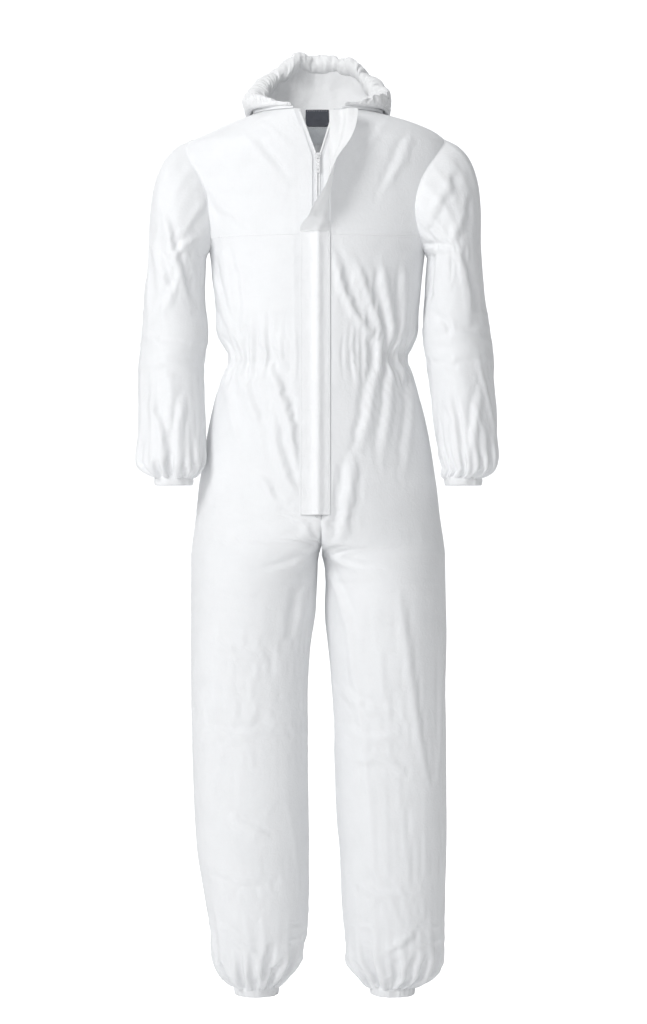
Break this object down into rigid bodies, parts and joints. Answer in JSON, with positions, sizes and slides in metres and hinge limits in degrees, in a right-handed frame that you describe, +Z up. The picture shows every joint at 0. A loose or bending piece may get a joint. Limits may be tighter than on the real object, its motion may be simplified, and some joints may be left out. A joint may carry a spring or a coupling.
{
  "type": "chemical protective suit",
  "caption": "Hooded one-piece protective coverall with front zip under a storm flap, folded-back hood, and elasticated waist, cuffs and ankles.",
  "frame": {"origin": "on the floor plane through the lower edges of both ankle hems, below the middle of the neck", "axes": "+Z up along the standing body, front of the suit towards -Y, the wearer's left towards +X"},
  "size_m": [0.584, 0.3097, 1.536],
  "materials": {
    "white_nonwoven": "matte, faint embossed grain",
    "zip_tape": "matte woven tape",
    "zip_coil": "satin moulded coil",
    "zip_metal": "white enamel",
    "elastic": "matte",
    "neck_label": "satin woven label, blank",
    "care_label": "matte, blank"
  },
  "bodies": {
    "suit": {"front_yoke_right": "white_nonwoven", "front_yoke_left": "white_nonwoven", "back_yoke": "white_nonwoven", "front_panel_right": "white_nonwoven", "front_panel_left": "white_nonwoven", "back_panel_right": "white_nonwoven", "back_panel_left": "white_nonwoven", "waist_elastic": "elastic", "leg_top_right": "white_nonwoven", "leg_top_left": "white_nonwoven", "zip_tape_right": "zip_tape", "zip_tape_left": "zip_tape", "zip_coil_right": "zip_coil", "zip_coil_left": "zip_coil", "zip_bottom_stop": "zip_metal", "zip_top_stops": "zip_metal", "neck_label": "neck_label", "care_label": "care_label", "storm_flap_lower": "white_nonwoven", "hood_neck_band": "white_nonwoven", "hood_neck_fold": "white_nonwoven", "sleeve_cap_right": "white_nonwoven", "sleeve_cap_left": "white_nonwoven"},
    "upper_flap": {"storm_flap_upper": "white_nonwoven"},
    "slider": {"zip_slider_body": "zip_metal", "zip_slider_bridge": "zip_metal"},
    "pull": {"zip_pull_tab": "zip_metal"},
    "hood": {"hood_hem": "white_nonwoven", "hood_elastic": "elastic", "hood_panel_right": "white_nonwoven", "hood_panel_left": "white_nonwoven"},
    "upper_arm_right": {"sleeve_upper_right": "white_nonwoven", "sleeve_elbow_right": "white_nonwoven"},
    "forearm_right": {"sleeve_forearm_right": "white_nonwoven", "cuff_hem_right": "white_nonwoven", "cuff_elastic_right": "elastic"},
    "thigh_right": {"leg_thigh_right": "white_nonwoven", "leg_knee_right": "white_nonwoven"},
    "shin_right": {"leg_shin_right": "white_nonwoven", "ankle_hem_right": "white_nonwoven", "ankle_elastic_right": "elastic"},
    "upper_arm_left": {"sleeve_upper_left": "white_nonwoven", "sleeve_elbow_left": "white_nonwoven"},
    "forearm_left": {"sleeve_forearm_left": "white_nonwoven", "cuff_hem_left": "white_nonwoven", "cuff_elastic_left": "elastic"},
    "thigh_left": {"leg_thigh_left": "white_nonwoven", "leg_knee_left": "white_nonwoven"},
    "shin_left": {"leg_shin_left": "white_nonwoven", "ankle_hem_left": "white_nonwoven", "ankle_elastic_left": "elastic"}
  },
  "joints": [
    {"name": "hood_raise", "type": "hinge", "parent": "suit", "child": "hood", "pos_m": [0, -0.088, 1.453], "axis": [1, 0, 0], "range_deg": [0, 60], "deforming": ["hood_neck_fold"]},
    {"name": "storm_flap_turn", "type": "hinge", "parent": "suit", "child": "upper_flap", "pos_m": [0.019, -0.0912, 1.44006], "axis": [0, 0.0534, 0.9986], "range_deg": [-160, 8]},
    {"name": "zip_slide", "type": "slide", "parent": "suit", "child": "slider", "axis": [0, 0.0534, 0.9986], "range_m": [-0.565, 0.071]},
    {"name": "pull_tab_turn", "type": "hinge", "parent": "slider", "child": "pull", "pos_m": [0, -0.09697, 1.36115], "axis": [-1, 0, 0], "range_deg": [0, 160]},
    {"name": "shoulder_right", "type": "hinge", "parent": "suit", "child": "upper_arm_right", "pos_m": [-0.2, 0, 1.345], "axis": [0, 1, 0], "range_deg": [0, 85], "deforming": ["sleeve_cap_right"]},
    {"name": "elbow_right", "type": "hinge", "parent": "upper_arm_right", "child": "forearm_right", "pos_m": [-0.234, -0.008, 1.085], "axis": [-1, 0, 0], "range_deg": [0, 100], "deforming": ["sleeve_elbow_right"]},
    {"name": "hip_right", "type": "hinge", "parent": "suit", "child": "thigh_right", "pos_m": [-0.104, 0, 0.8], "axis": [-1, 0, 0], "range_deg": [-15, 75], "deforming": ["leg_top_right"]},
    {"name": "knee_right", "type": "hinge", "parent": "thigh_right", "child": "shin_right", "pos_m": [-0.111, 0, 0.43], "axis": [1, 0, 0], "range_deg": [0, 95], "deforming": ["leg_knee_right"]},
    {"name": "shoulder_left", "type": "hinge", "parent": "suit", "child": "upper_arm_left", "pos_m": [0.2, 0, 1.345], "axis": [0, -1, 0], "range_deg": [0, 85], "deforming": ["sleeve_cap_left"]},
    {"name": "elbow_left", "type": "hinge", "parent": "upper_arm_left", "child": "forearm_left", "pos_m": [0.234, -0.008, 1.085], "axis": [-1, 0, 0], "range_deg": [0, 100], "deforming": ["sleeve_elbow_left"]},
    {"name": "hip_left", "type": "hinge", "parent": "suit", "child": "thigh_left", "pos_m": [0.112, 0, 0.8], "axis": [-1, 0, 0], "range_deg": [-15, 75], "deforming": ["leg_top_left"]},
    {"name": "knee_left", "type": "hinge", "parent": "thigh_left", "child": "shin_left", "pos_m": [0.119, 0, 0.43], "axis": [1, 0, 0], "range_deg": [0, 95], "deforming": ["leg_knee_left"]}
  ]
}
